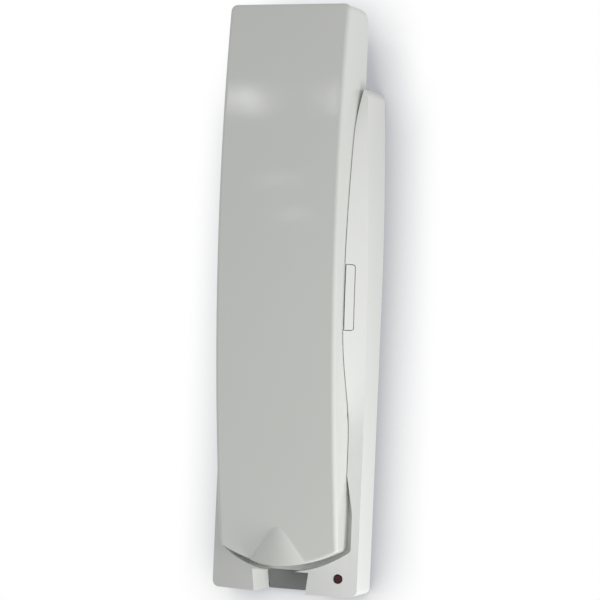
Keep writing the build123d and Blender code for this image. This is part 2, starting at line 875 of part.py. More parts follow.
# Screw under the chin
with BuildPart() as cover_screw:
    with BuildSketch(Plane.XY.offset(up(0))):
        with Locations((cover_screw_x, -cover_screw_depth)):
            Circle(cover_screw_head_radius)
    extrude(amount=cover_screw_head_height)
    with BuildSketch(Plane.XY.offset(up(cover_screw_head_height))):
        with Locations((cover_screw_x, -cover_screw_depth)):
            Circle(cover_screw_radius)
    extrude(amount=cover_screw_length)
    with BuildSketch(Plane.XY.offset(up(0))):
        with Locations((cover_screw_x, -cover_screw_depth)):
            Rectangle(2 * cover_screw_radius, cover_screw_head_height / 2)
            Rectangle(cover_screw_head_height / 2, 2 * cover_screw_radius)
    extrude(amount=cover_screw_head_height / 2, mode=Mode.SUBTRACT)
cover_screw.part.label = "cover_screw"
export_step(cover_screw.part, "parts/cover_screw.step")


def cord_inlet(rear_depth, foot):
    """Socket block with its mouth facing down"""
    middle = -(rear_depth + jack_thickness / 2)
    with BuildPart() as inlet:
        with BuildSketch(Plane.XY.offset(up(foot))):
            with Locations((0, middle)):
                Rectangle(jack_width, jack_thickness)
        extrude(amount=jack_length)
        with BuildSketch(Plane.XY.offset(up(foot))):
            with Locations((0, middle)):
                Rectangle(jack_mouth_width, jack_mouth_thickness)
        extrude(amount=jack_mouth_depth, mode=Mode.SUBTRACT)
    return inlet.part


def inlet_contacts(rear_depth, foot):
    """Spring wires along the rear wall of the inlet's mouth"""
    wall_side = -(rear_depth + (jack_thickness - jack_mouth_thickness) / 2)
    with BuildPart() as wires:
        with BuildSketch(Plane.XY.offset(up(foot + cover_wall))):
            with Locations((0, wall_side - contact_thickness / 2)):
                with GridLocations(contact_pitch, 0, contact_count, 1):
                    Rectangle(contact_width, contact_thickness)
        extrude(amount=jack_mouth_depth - cover_wall)
    return wires.part


base_jack_rear = plate_thickness - base_jack_recess
base_jack_foot = notch_height + cover_wall
with BuildPart() as base_jack:
    add(cord_inlet(base_jack_rear, base_jack_foot))
base_jack.part.label = "base_jack"
export_step(base_jack.part, "parts/base_jack.step")

with BuildPart() as base_jack_contacts:
    add(inlet_contacts(base_jack_rear, base_jack_foot))
base_jack_contacts.part.label = "base_jack_contacts"
export_step(base_jack_contacts.part, "parts/base_jack_contacts.step")

# Front shell of the handset
bow_radius = (handset_foot_width**2 / 4 + foot_sagitta**2) / (2 * foot_sagitta) - handset_wall
bow_rise = bow_radius - (bow_radius**2 - jack_width**2 / 4) ** 0.5
handset_jack_foot = handset_foot + handset_wall + bow_rise + thread_gap
with BuildPart() as handset_front:
    add(handset_form(0, 0, 0))
    front_face = handset_front.faces().sort_by(SortBy.AREA)[-1]
    fillet(front_face.edges(), radius=front_edge_radius)
    add(cord_hood(0))
    add(handset_form(handset_wall, handset_wall, -handset_wall), mode=Mode.SUBTRACT)
    add(cord_hood(handset_wall), mode=Mode.SUBTRACT)
    add(lid_prism(0, grip_lid_inner), mode=Mode.SUBTRACT)
    # Bosses for the two shell screws
    with BuildSketch(facing(screw_pad_front)):
        for height in shell_screw_heights:
            with Locations((0, up(height))):
                Circle(shell_boss_radius)
    extrude(until=Until.NEXT)
    with BuildSketch(facing(screw_pad_front)):
        for height in shell_screw_heights:
            with Locations((0, up(height))):
                Circle(shell_screw_radius + thread_gap)
    extrude(amount=shell_screw_length, mode=Mode.SUBTRACT)
    # Mouth of the cord inlet in the bottom wall
    with BuildSketch(Plane.XY.offset(up(handset_foot) - overrun)):
        with Locations((0, -(handset_jack_rear_depth + jack_thickness / 2))):
            Rectangle(jack_mouth_width + fit_gap, jack_mouth_thickness + fit_gap)
    extrude(amount=overrun + 2 * handset_wall, mode=Mode.SUBTRACT)
handset_front.part.label = "handset_front"
export_step(handset_front.part, "parts/handset_front.step")

# Rear shell of the handset, a lid between the walls of the front shell
with BuildPart() as lid_inside:
    extrude(side_profile(-overrun, 0, -lid_thickness), amount=2 * base_width)

with BuildPart() as handset_rear:
    add(handset_form(0, 0, 0))
    add(lid_prism(fit_gap, grip_lid_inner), mode=Mode.INTERSECT)
    add(lid_inside.part, mode=Mode.SUBTRACT)
    # Ear dish with its grille
    add_disc(handset_rear_depth, 0, ear_height, dish_radius + lid_thickness,
             dish_depth + lid_thickness)
    add_disc(0, 0, ear_height, dish_radius, dish_floor, Mode.SUBTRACT)
    with BuildSketch(facing(dish_floor)):
        with Locations((0, up(ear_height))):
            Circle(grille_hole_radius)
            for ring, count in enumerate(grille_ring_counts, start=1):
                with PolarLocations(ring * grille_pitch, count):
                    Circle(grille_hole_radius)
    extrude(amount=lid_thickness, mode=Mode.SUBTRACT)
    # Sound holes of the microphone
    with BuildSketch(facing(0)):
        with Locations((0, up(mic_height))):
            with GridLocations(mic_hole_pitch, 0, mic_hole_count, 1):
                Circle(mic_hole_radius)
    extrude(amount=lid_inner, mode=Mode.SUBTRACT)
    # Ribs that hold the ballast
    for side in (-1, 1):
        add_slab(grip_lid_inner, side * (ballast_width + ballast_rib + 2 * fit_gap) / 2,
                 ballast_height, ballast_rib, ballast_length, ballast_rib_rise)
    # Screw pads, holes and counterbores
    for height in shell_screw_heights:
        add_disc(grip_rear_depth, 0, height, shell_boss_radius,
                 screw_pad_front - grip_rear_depth)
        add_disc(0, 0, height, shell_screw_radius + thread_gap, screw_pad_front, Mode.SUBTRACT)
        add_disc(0, 0, height, shell_screw_head_radius + thread_gap, screw_seat, Mode.SUBTRACT)
    # Seat of the cord inlet
    seat_length = jack_length + 2 * handset_wall
    add_slab(handset_jack_rear_depth, 0, handset_foot + seat_length / 2,
             jack_width + 2 * fit_gap, seat_length, jack_thickness, Mode.SUBTRACT)
handset_rear.part.label = "handset_rear"
export_step(handset_rear.part, "parts/handset_rear.step")

# Earpiece, with its gasket and clamp ring
with BuildPart() as earpiece_gasket:
    add_disc(capsule_rear - gasket_thickness, 0, ear_height, capsule_radius, gasket_thickness)
    add_disc(capsule_rear - gasket_thickness, 0, ear_height, capsule_radius - gasket_width,
             gasket_thickness, Mode.SUBTRACT)
earpiece_gasket.part.label = "earpiece_gasket"
export_step(earpiece_gasket.part, "parts/earpiece_gasket.step")

with BuildPart() as earpiece:
    add_disc(capsule_rear, 0, ear_height, capsule_radius, capsule_height)
    add_disc(capsule_rear + capsule_height, 0, ear_height, magnet_radius, magnet_height)
earpiece.part.label = "earpiece"
export_step(earpiece.part, "parts/earpiece.step")

clamp_foot = capsule_rear - gasket_thickness
clamp_height = gasket_thickness + capsule_height + clamp_thickness
with BuildPart() as earpiece_clamp:
    add_disc(clamp_foot, 0, ear_height, clamp_outer, clamp_height)
    add_disc(clamp_foot, 0, ear_height, capsule_radius + fit_gap,
             clamp_height - clamp_thickness, Mode.SUBTRACT)
    add_disc(clamp_foot, 0, ear_height, magnet_radius + fit_gap, clamp_height, Mode.SUBTRACT)
earpiece_clamp.part.label = "earpiece_clamp"
export_step(earpiece_clamp.part, "parts/earpiece_clamp.step")

# Microphone in its rubber boot
with BuildPart() as microphone:
    add_disc(lid_inner + boot_wall, 0, mic_height, mic_radius, mic_length)
microphone.part.label = "microphone"
export_step(microphone.part, "parts/microphone.step")

with BuildPart() as microphone_boot:
    add_disc(lid_inner, 0, mic_height, mic_radius + thread_gap + boot_wall,
             mic_length + boot_wall)
    add_disc(lid_inner + boot_wall, 0, mic_height, mic_radius + thread_gap, mic_length,
             Mode.SUBTRACT)
    add_disc(lid_inner, 0, mic_height, mic_radius - boot_wall, boot_wall, Mode.SUBTRACT)
microphone_boot.part.label = "microphone_boot"
export_step(microphone_boot.part, "parts/microphone_boot.step")

# Cord inlet of the handset and the small board on top of it
with BuildPart() as handset_jack:
    add(cord_inlet(handset_jack_rear_depth, handset_jack_foot))
handset_jack.part.label = "handset_jack"
export_step(handset_jack.part, "parts/handset_jack.step")

with BuildPart() as handset_jack_contacts:
    add(inlet_contacts(handset_jack_rear_depth, handset_jack_foot))
handset_jack_contacts.part.label = "handset_jack_contacts"
export_step(handset_jack_contacts.part, "parts/handset_jack_contacts.step")

small_board_height = handset_jack_foot + jack_length
with BuildPart() as handset_board:
    with BuildSketch(Plane.XY.offset(up(small_board_height))):
        with Locations((0, -(lid_inner + fit_gap + small_board_depth / 2))):
            Rectangle(small_board_width, small_board_depth)
    extrude(amount=small_board_thickness)
handset_board.part.label = "handset_board"
export_step(handset_board.part, "parts/handset_board.step")

# Ballast bar on the lid, between its ribs
with BuildPart() as ballast_weight:
    add_slab(grip_lid_inner, 0, ballast_height, ballast_width, ballast_length,
             ballast_thickness)
ballast_weight.part.label = "ballast_weight"
export_step(ballast_weight.part, "parts/ballast_weight.step")

# Screws of the handset shells
with BuildPart() as handset_screws:
    for height in shell_screw_heights:
        add_disc(screw_seat - shell_screw_head_height, 0, height, shell_screw_head_radius,
                 shell_screw_head_height)
        add_disc(screw_seat, 0, height, shell_screw_radius, shell_screw_length)
handset_screws.part.label = "handset_screws"
export_step(handset_screws.part, "parts/handset_screws.step")
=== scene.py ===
"""Looks of the audio intercom handset: camera, light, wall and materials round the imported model.

Lengths and places are in metres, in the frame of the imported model.
"""

import math

import bpy
from mathutils import Matrix, Vector


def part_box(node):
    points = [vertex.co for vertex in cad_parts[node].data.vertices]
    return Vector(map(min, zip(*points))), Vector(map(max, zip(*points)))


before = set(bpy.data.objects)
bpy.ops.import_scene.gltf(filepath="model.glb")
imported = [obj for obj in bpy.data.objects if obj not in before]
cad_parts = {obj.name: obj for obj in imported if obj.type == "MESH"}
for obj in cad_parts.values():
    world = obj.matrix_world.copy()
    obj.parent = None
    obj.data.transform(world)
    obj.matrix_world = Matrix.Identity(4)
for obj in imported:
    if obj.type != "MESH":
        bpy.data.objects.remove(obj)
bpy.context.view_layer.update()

# Camera, fitted to the edges of the photograph
CAMERA_PLACE = Vector((0.3303, -0.8273, -0.00235))
CAMERA_TARGET = Vector((0.00213, -0.0150, 0.01449))
CAMERA_ROLL = math.radians(2.46)
FOCAL_PIXELS = 2386
IMAGE_PIXELS = 600
SENSOR_MM = 36

# Light: an even level, a broad glow from the right, and two soft lamps on that side
FILL_LEVEL = 0.425
GLOW_LEVEL = 0.19
GLOW_FROM = Vector((0.95, -0.03, -0.30)).normalized()
LOW_LAMP_PLACE = Vector((0.26, -0.03, -0.27))
LOW_LAMP_WATTS = 0.53
SIDE_LAMP_PLACE = Vector((0.24, -0.22, 0.02))
SIDE_LAMP_WATTS = 0.14
LAMP_SIZE = 0.18

# Windows of the room, which only gloss shows: the share of each pane's width that is glass
PANE_SHARE = 0.66

# Wall behind the base, with a painted soft shadow round the object, darker where the object is near
WALL_GAP = 0.0004
WALL_HALF = 12.0
WALL_SAMPLES = 16
SHADE_REACH = 0.022
SHADE_FULL = 0.45
SHADE_NONE = 0.97
SHADE_DEEP = (0.43, 0.445, 0.47, 1.0)

# Painted shade in the gaps of the white plastic, darker where the gaps are deep
GAP_SHADE_SAMPLES = 8
GAP_SHADE_REACH = 0.0032
GAP_SHADE_FULL = 0.10
GAP_SHADE_NONE = 0.62
GAP_SHADE_TONE = 0.30

# Screw heads and the recesses in them
BOARD_HEAD_RADIUS = 0.0023
SHELL_HEAD_RADIUS = 0.0025
CROSS_ARM_HALF = 0.00028
CROSS_REACH = 0.00135
CROSS_BLUR = 0.00015
CROSS_OVERLAP = 0.0001
SLOT_HALF = 0.00028
SLOT_BLUR = 0.00006

# Colours of bare metal
STEEL = (0.62, 0.63, 0.64)
BARE_TIN = (0.66, 0.66, 0.65, 1.0)
BARE_PAD = (0.62, 0.62, 0.58, 1.0)
BARE_ALUMINIUM = (0.74, 0.75, 0.76, 1.0)

# Sockets of a Mix node that blend colours
MIX_SHARE, MIX_FIRST, MIX_SECOND, MIX_RESULT = 0, 6, 7, 2


def photo_camera():
    """Camera at the photograph's viewing angle, turned a little about its own axis"""
    back = (CAMERA_PLACE - CAMERA_TARGET).normalized()
    level = Vector((0, 0, 1)).cross(back).normalized()
    upright = back.cross(level)
    across = level * math.cos(CAMERA_ROLL) + upright * math.sin(CAMERA_ROLL)
    above = back.cross(across)
    data = bpy.data.cameras.new("camera")
    data.sensor_width = SENSOR_MM
    data.lens = FOCAL_PIXELS * SENSOR_MM / IMAGE_PIXELS
    camera = bpy.data.objects.new("camera", data)
    bpy.context.scene.collection.objects.link(camera)
    turn = Matrix((across, above, back)).transposed().to_4x4()
    camera.matrix_world = Matrix.Translation(CAMERA_PLACE) @ turn
    bpy.context.scene.camera = camera


def add_lamp(place, watts):
    """Soft round lamp that faces the middle of the object and is seen in no reflection"""
    data = bpy.data.lights.new("lamp", "AREA")
    data.shape = "DISK"
    data.size = LAMP_SIZE
    data.energy = watts
    lamp = bpy.data.objects.new("lamp", data)
    turn = place.to_track_quat("Z", "Y").to_matrix().to_4x4()
    lamp.matrix_world = Matrix.Translation(place) @ turn
    lamp.visible_camera = lamp.visible_glossy = False
    bpy.context.scene.collection.objects.link(lamp)


def add_window(place, width, height, lean, panes, strength):
    """Bright window that faces the handset, divided into upright panes and leaning by some degrees"""
    turn = place.to_track_quat("Z", "Y").to_matrix() @ Matrix.Rotation(math.radians(lean), 3, "Z")
    pitch = width / panes
    for index in range(panes):
        data = bpy.data.lights.new("window", "AREA")
        data.shape = "RECTANGLE"
        data.size = pitch * (PANE_SHARE if panes > 1 else 1.0)
        data.size_y = height
        data.energy = strength * math.pi * data.size * height
        pane = bpy.data.objects.new("window", data)
        aside = turn @ Vector((pitch * (index - (panes - 1) / 2), 0, 0))
        pane.matrix_world = Matrix.Translation(place + aside) @ turn.to_4x4()
        pane.visible_camera = pane.visible_diffuse = pane.visible_transmission = False
        bpy.context.scene.collection.objects.link(pane)


class Graph:
    """Short way to write a node tree"""

    def __init__(self, tree):
        self.tree = tree
        tree.nodes.clear()

    def add(self, kind, settings=None, **inputs):
        """Node of a kind, with its settings and its inputs by name"""
        node = self.tree.nodes.new(kind)
        for key, value in (settings or {}).items():
            setattr(node, key, value)
        for key, value in inputs.items():
            self.put(node.inputs[key.replace("_", " ")], value)
        return node

    def put(self, socket, value):
        """Link a socket to an output, or set it to a value"""
        if isinstance(value, bpy.types.NodeSocket):
            self.tree.links.new(value, socket)
        else:
            socket.default_value = value

    def math(self, operation, *values):
        """Result of one operation on one or two values"""
        node = self.tree.nodes.new("ShaderNodeMath")
        node.operation = operation
        for socket, value in zip(node.inputs, values):
            self.put(socket, value)
        return node.outputs[0]

    def spread(self, value, low, high, to_low, to_high):
        """Value between low and high, spread over to_low and to_high and clamped"""
        node = self.add("ShaderNodeMapRange")
        for socket, given in zip(node.inputs, (value, low, high, to_low, to_high)):
            self.put(socket, given)
        return node.outputs[0]

    def within(self, value, edge, blur):
        """1 up to an edge and 0 past its blur"""
        return self.spread(value, edge, edge + blur, 1.0, 0.0)

    def beyond(self, value, edge, blur):
        """0 up to an edge and 1 past its blur"""
        return self.spread(value, edge, edge + blur, 0.0, 1.0)

    def blend(self, share, first, second):
        """Colour between two colours"""
        node = self.add("ShaderNodeMix", {"data_type": "RGBA"})
        self.put(node.inputs[MIX_SHARE], share)
        self.put(node.inputs[MIX_FIRST], first)
        self.put(node.inputs[MIX_SECOND], second)
        return node.outputs[MIX_RESULT]

    def shades(self, share, color, dark, pale):
        """Colour between a dark and a pale shade of one colour"""
        return self.blend(share, scaled(color, dark), scaled(color, pale))

    def parts(self, place):
        """X, Y and Z of a point"""
        return self.add("ShaderNodeSeparateXYZ", Vector=place).outputs[:3]

    def distance(self, side, rise):
        """Distance of a point that lies so far to the side and so far up"""
        squares = [self.math("MULTIPLY", leg, leg) for leg in (side, rise)]
        return self.math("SQRT", self.math("ADD", *squares))

    def end(self, kind, shader):
        """Output node of a kind that shows a shader"""
        node = self.add(kind)
        self.put(node.inputs["Surface"], shader.outputs[0])


def gray(value):
    """Neutral colour"""
    return (value, value, value, 1.0)


def scaled(color, factor):
    """Colour made darker or paler"""
    return tuple(min(1.0, part * factor) for part in color) + (1.0,)


def noise(graph, place, scale, detail=2.0, roughness=0.5):
    """Smooth noise about one half"""
    node = graph.add("ShaderNodeTexNoise", Vector=place, Scale=scale, Detail=detail, Roughness=roughness)
    return node.outputs[0]


def stretched(graph, place, stretch):
    """Point with each of its axes scaled"""
    node = graph.add("ShaderNodeMapping", Vector=place)
    node.inputs["Scale"].default_value = stretch
    return node.outputs[0]


def start_material(name):
    """Material, its graph, and the point on the piece in metres, which moves with the piece"""
    material = bpy.data.materials.new(name)
    material.use_nodes = True
    graph = Graph(material.node_tree)
    return material, graph, graph.add("ShaderNodeTexCoord").outputs["Object"]


def end_material(graph, color, roughness, height, bump_depth, **fixed):
    """Principled surface with a colour, a roughness, and a height that counts in bump depths"""
    shader = graph.add("ShaderNodeBsdfPrincipled")
    graph.put(shader.inputs["Base Color"], color)
    graph.put(shader.inputs["Roughness"], roughness)
    for key, value in fixed.items():
        graph.put(shader.inputs[key.replace("_", " ")], value)
    bump = graph.add("ShaderNodeBump", Height=height, Strength=1.0, Distance=bump_depth)
    graph.put(shader.inputs["Normal"], bump.outputs[0])
    graph.end("ShaderNodeOutputMaterial", shader)


def drifted(graph, place, color, variation, scale=22.0):
    """Colour that drifts slowly over the piece"""
    drift = noise(graph, place, scale, detail=3.0)
    return graph.shades(drift, color, 1 - variation, 1 + variation)


def from_middle(graph, place, name):
    """How far a point lies to the side of and above the middle of a node's box"""
    x, y, z = graph.parts(place)
    low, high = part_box(name)
    side = graph.math("SUBTRACT", x, (low[0] + high[0]) / 2)
    rise = graph.math("SUBTRACT", z, (low[2] + high[2]) / 2)
    return side, rise


def nearest(graph, value, places):
    """Distance to the nearest of some places along one axis"""
    found = None
    for place in places:
        away = graph.math("ABSOLUTE", graph.math("SUBTRACT", value, place))
        found = away if found is None else graph.math("MINIMUM", found, away)
    return found


def head_places(name, head_radius):
    """X and Z of the screw heads in the corners of a node's box"""
    low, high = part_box(name)
    columns = (low[0] + head_radius, high[0] - head_radius)
    rows = (low[2] + head_radius, high[2] - head_radius)
    return columns, rows


def moulded_plastic(name, color, roughness, variation=0.02, gap_shade=0.0):
    """Moulded plastic: slow drift in tone and gloss, a fine skin, and painted shade deep in its gaps"""
    skin_depth = 0.000004
    swell_depth = 0.000012
    material, graph, place = start_material(name)
    tone = drifted(graph, place, color, variation)
    if gap_shade:
        # Painted shade: the colour darkens deep in gaps and creases, where shade falls
        reach = graph.add("ShaderNodeAmbientOcclusion", {"samples": GAP_SHADE_SAMPLES}, Distance=GAP_SHADE_REACH)
        gap_shade_share = graph.spread(reach.outputs["AO"], GAP_SHADE_FULL, GAP_SHADE_NONE, gap_shade, 0.0)
        tone = graph.blend(gap_shade_share, tone, scaled(color, GAP_SHADE_TONE))
    handling = noise(graph, place, scale=95.0, detail=4.0, roughness=0.62)
    gloss = graph.spread(handling, 0.35, 0.72, roughness * 0.82, roughness * 1.22)
    skin = noise(graph, place, scale=2600.0, roughness=0.55)
    swell = noise(graph, place, scale=160.0, detail=1.0)
    skin_height = graph.math("MULTIPLY", skin, skin_depth)
    swell_height = graph.math("MULTIPLY", swell, swell_depth)
    height = graph.math("ADD", skin_height, swell_height)
    end_material(graph, tone, gloss, height, bump_depth=1.0, IOR=1.53)
    return material


def sparked_plastic(name, color, roughness):
    """Plastic from a spark-eroded tool: an even matte grain, worn a little smoother in patches"""
    fine_share = 0.35
    material, graph, place = start_material(name)
    grain = graph.add("ShaderNodeTexVoronoi", Vector=place, Scale=1500.0).outputs["Distance"]
    fine = noise(graph, place, scale=5200.0)
    wear = noise(graph, place, scale=60.0, detail=4.0, roughness=0.6)
    rubbed = graph.spread(wear, 0.45, 0.75, 1.0, 0.55)
    tone = graph.shades(fine, color, 0.86, 1.14)
    gloss = graph.spread(rubbed, 0.55, 1.0, roughness * 0.75, roughness * 1.1)
    grains = graph.math("ADD", grain, graph.math("MULTIPLY", fine, fine_share))
    height = graph.math("MULTIPLY", grains, rubbed)
    end_material(graph, tone, gloss, height, bump_depth=0.00006, IOR=1.49)
    return material


def turned_steel(name, roughness, heads=None):
    """Bright steel with fine turning marks, and a cross recess at each of the given screw heads, sunk by
    bump and painted dark as shade
    """
    recess_depth = 12.0
    material, graph, place = start_material(name)
    turned = stretched(graph, place, (900.0, 9000.0, 900.0))
    marks = noise(graph, turned, scale=1.0, detail=3.0, roughness=0.6)
    smudge = noise(graph, place, scale=240.0, detail=4.0, roughness=0.65)
    tone = graph.shades(smudge, STEEL, 0.86, 1.06)
    gloss = graph.spread(smudge, 0.3, 0.75, roughness * 0.7, roughness * 1.35)
    height = marks
    if heads:
        x, y, z = graph.parts(place)
        columns, rows = heads
        side = nearest(graph, x, columns)
        rise = nearest(graph, z, rows)
        arm = graph.math("SUBTRACT", graph.math("MAXIMUM", side, rise), CROSS_REACH)
        slim = graph.math("SUBTRACT", graph.math("MINIMUM", side, rise), CROSS_ARM_HALF)
        recess = graph.within(graph.math("MAXIMUM", slim, arm), -CROSS_OVERLAP, CROSS_BLUR)
        # Painted shade: the cross recess is coloured dark, as shade inside it
        tone = graph.blend(recess, tone, scaled(STEEL, 0.16))
        height = graph.math("SUBTRACT", marks, graph.math("MULTIPLY", recess, recess_depth))
    end_material(graph, tone, gloss, height, bump_depth=0.00001, Metallic=1.0)
    return material


def slotted_steel(name, roughness):
    """Terminal screws: a straight slot across each head, sunk by bump and painted dark as shade"""
    slot_depth = 10.0
    material, graph, place = start_material(name)
    rise = from_middle(graph, place, "terminal_screws")[1]
    slot = graph.within(graph.math("ABSOLUTE", rise), SLOT_HALF, SLOT_BLUR)
    smudge = noise(graph, place, scale=300.0, detail=4.0, roughness=0.65)
    tone = graph.shades(smudge, STEEL, 0.85, 1.05)
    # Painted shade: the slot is coloured dark, as shade inside it
    tone = graph.blend(slot, tone, scaled(STEEL, 0.15))
    gloss = graph.spread(smudge, 0.3, 0.75, roughness * 0.7, roughness * 1.3)
    height = graph.math("SUBTRACT", smudge, graph.math("MULTIPLY", slot, slot_depth))
    end_material(graph, tone, gloss, height, bump_depth=0.00002, Metallic=1.0)
    return material


def gold_wires(name, color):
    """Gold plate, worn to a duller tone in patches"""
    worn_color = (0.60, 0.50, 0.36, 1.0)
    material, graph, place = start_material(name)
    wear = noise(graph, place, scale=700.0, detail=4.0, roughness=0.6)
    worn = graph.spread(wear, 0.4, 0.75, 0.0, 0.6)
    tone = graph.blend(worn, scaled(color, 1.0), worn_color)
    gloss = graph.spread(wear, 0.3, 0.7, 0.16, 0.34)
    end_material(graph, tone, gloss, wear, bump_depth=0.000006, Metallic=1.0)
    return material


def circuit_board(name, color):
    """Solder mask over copper: paler tracks on a grid of runs, and bare drilled pads"""
    track_width = 0.00035
    track_pitch = 0.00254
    track_run = 0.0105
    weave_height = 0.2
    pad_share = 0.15
    pad_blur = 0.02
    material, graph, place = start_material(name)
    x, y, z = graph.parts(place)
    flat = graph.add("ShaderNodeCombineXYZ", X=x, Y=z, Z=0.0).outputs[0]
    runs = graph.add("ShaderNodeTexBrick", {"offset": 0.35, "squash": 1.0}, Vector=flat, Scale=1.0,
                     Mortar_Size=track_width, Mortar_Smooth=0.25, Brick_Width=track_run,
                     Row_Height=track_pitch)
    track = runs.outputs["Fac"]
    cells = graph.add("ShaderNodeTexVoronoi", Vector=flat, Scale=170.0, Randomness=0.85)
    pad = graph.within(cells.outputs["Distance"], pad_share, pad_blur)
    weave = noise(graph, stretched(graph, place, (2300.0, 1.0, 2300.0)), scale=1.0)
    tone = graph.blend(track, graph.shades(weave, color, 0.9, 1.1), scaled(color, 1.55))
    tone = graph.blend(pad, tone, BARE_PAD)
    gloss = graph.spread(pad, 0.0, 1.0, 0.34, 0.28)
    raised = graph.math("MAXIMUM", track, pad)
    height = graph.math("ADD", raised, graph.math("MULTIPLY", weave, weave_height))
    end_material(graph, tone, gloss, height, bump_depth=0.00004, IOR=1.5)
    return material


def lamp_lens(name, color):
    """Dark red lamp body: clear skin over a deep tone, paler where the die sits"""
    die_near = 0.0002
    die_far = 0.0011
    material, graph, place = start_material(name)
    streaks = noise(graph, place, scale=420.0, detail=3.0)
    away = graph.distance(*from_middle(graph, place, "led"))
    core = graph.spread(away, die_near, die_far, 0.35, 0.0)
    tone = graph.blend(core, graph.shades(streaks, color, 0.8, 1.2), scaled(color, 2.2))
    gloss = graph.spread(streaks, 0.3, 0.7, 0.08, 0.16)
    end_material(graph, tone, gloss, streaks, bump_depth=0.000004, IOR=1.52, Specular_IOR_Level=0.2)
    return material


def nylon(name, color):
    """Milky nylon that light enters a little way"""
    material, graph, place = start_material(name)
    cloud = noise(graph, place, scale=130.0, detail=3.0)
    tone = graph.shades(cloud, color, 0.93, 1.04)
    gloss = graph.spread(cloud, 0.3, 0.7, 0.38, 0.52)
    skin = noise(graph, place, scale=1800.0)
    end_material(graph, tone, gloss, skin, bump_depth=0.00001, IOR=1.53, Subsurface_Weight=0.15,
                 Subsurface_Radius=(0.002, 0.0018, 0.0014))
    return material


def capacitor(name, color):
    """Shrunk sleeve with a paler stripe, round a bare aluminium top with a cross vent"""
    blur = 0.0001
    top_inset = 0.00035
    sleeve_radius = 0.0024
    stripe_start = 0.0022
    stripe_color = (0.55, 0.56, 0.58, 1.0)
    vent_half = 0.00012
    vent_blur = 0.00008
    vent_depth = 4.0
    material, graph, place = start_material(name)
    side, rise = from_middle(graph, place, "smoothing_capacitor")
    depth = graph.parts(place)[1]
    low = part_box("smoothing_capacitor")[0]
    front = graph.within(depth, low[1] + top_inset, blur)
    away = graph.distance(side, rise)
    bare = graph.math("MULTIPLY", front, graph.within(away, sleeve_radius, blur))
    sleeve = graph.math("SUBTRACT", 1.0, bare)
    stripe = graph.math("MULTIPLY", graph.beyond(side, stripe_start, blur), sleeve)
    tone = drifted(graph, place, color, 0.12, scale=180.0)
    tone = graph.blend(stripe, tone, stripe_color)
    tone = graph.blend(bare, tone, BARE_ALUMINIUM)
    slim = graph.math("MINIMUM", graph.math("ABSOLUTE", side), graph.math("ABSOLUTE", rise))
    vent = graph.math("MULTIPLY", graph.within(slim, vent_half, vent_blur), bare)
    skin = noise(graph, place, scale=1500.0)
    height = graph.math("SUBTRACT", skin, graph.math("MULTIPLY", vent, vent_depth))
    gloss = graph.spread(bare, 0.0, 1.0, 0.25, 0.38)
    end_material(graph, tone, gloss, height, bump_depth=0.00004, Metallic=bare, IOR=1.5)
    return material


def chip(name, color):
    """Moulded epoxy body with tinned leads and a round mark at its first lead"""
    lead_reach = 0.0012
    lead_gap = 0.00002
    lead_blur = 0.00006
    mark_inset_x = 0.0011
    mark_inset_z = 0.0012
    mark_radius = 0.00045
    mark_blur = 0.0001
    mark_depth = 5.0
    material, graph, place = start_material(name)
    x, y, z = graph.parts(place)
    low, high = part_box("amplifier_chip")
    middle = (low[0] + high[0]) / 2
    half_body = (high[0] - low[0]) / 2 - lead_reach
    side = graph.math("ABSOLUTE", graph.math("SUBTRACT", x, middle))
    lead = graph.beyond(side, half_body + lead_gap, lead_blur)
    mark_side = graph.math("SUBTRACT", x, middle - half_body + mark_inset_x)
    mark_rise = graph.math("SUBTRACT", z, high[2] - mark_inset_z)
    mark = graph.within(graph.distance(mark_side, mark_rise), mark_radius, mark_blur)
    sand = noise(graph, place, scale=4200.0, roughness=0.6)
    tone = graph.blend(lead, graph.shades(sand, color, 0.8, 1.5), BARE_TIN)
    gloss = graph.spread(lead, 0.0, 1.0, 0.62, 0.3)
    height = graph.math("SUBTRACT", sand, graph.math("MULTIPLY", mark, mark_depth))
    end_material(graph, tone, gloss, height, bump_depth=0.00003, Metallic=lead, IOR=1.5)
    return material


def foam(name, color):
    """Open foam: cells painted darker as shade inside them, between paler walls"""
    material, graph, place = start_material(name)
    cells = graph.add("ShaderNodeTexVoronoi", Vector=place, Scale=1900.0).outputs["Distance"]
    # Painted shade: the cell pits are darker and the walls between them paler
    tone = graph.shades(graph.spread(cells, 0.1, 0.6, 0.0, 1.0), color, 0.45, 1.5)
    gloss = graph.spread(cells, 0.1, 0.6, 0.98, 0.88)
    end_material(graph, tone, gloss, cells, bump_depth=0.00025, IOR=1.4)
    return material


def spun_aluminium(name, color):
    """Aluminium can with rings from the spinning tool"""
    radians_per_metre = 42000.0
    material, graph, place = start_material(name)
    away = graph.distance(*from_middle(graph, place, "microphone"))
    rings = graph.math("SINE", graph.math("MULTIPLY", away, radians_per_metre))
    smudge = noise(graph, place, scale=260.0, detail=4.0, roughness=0.6)
    tone = graph.shades(smudge, color, 0.88, 1.05)
    gloss = graph.spread(smudge, 0.3, 0.7, 0.30, 0.44)
    end_material(graph, tone, gloss, rings, bump_depth=0.000003, Metallic=1.0)
    return material


def rubber(name, color):
    """Rubber with a pale bloom in patches"""
    material, graph, place = start_material(name)
    bloom = noise(graph, place, scale=210.0, detail=4.0, roughness=0.62)
    tone = graph.shades(graph.spread(bloom, 0.42, 0.78, 0.0, 1.0), color, 0.9, 2.0)
    gloss = graph.spread(bloom, 0.3, 0.7, 0.6, 0.78)
    skin = noise(graph, place, scale=1400.0, detail=3.0)
    end_material(graph, tone, gloss, skin, bump_depth=0.00002, IOR=1.52)
    return material


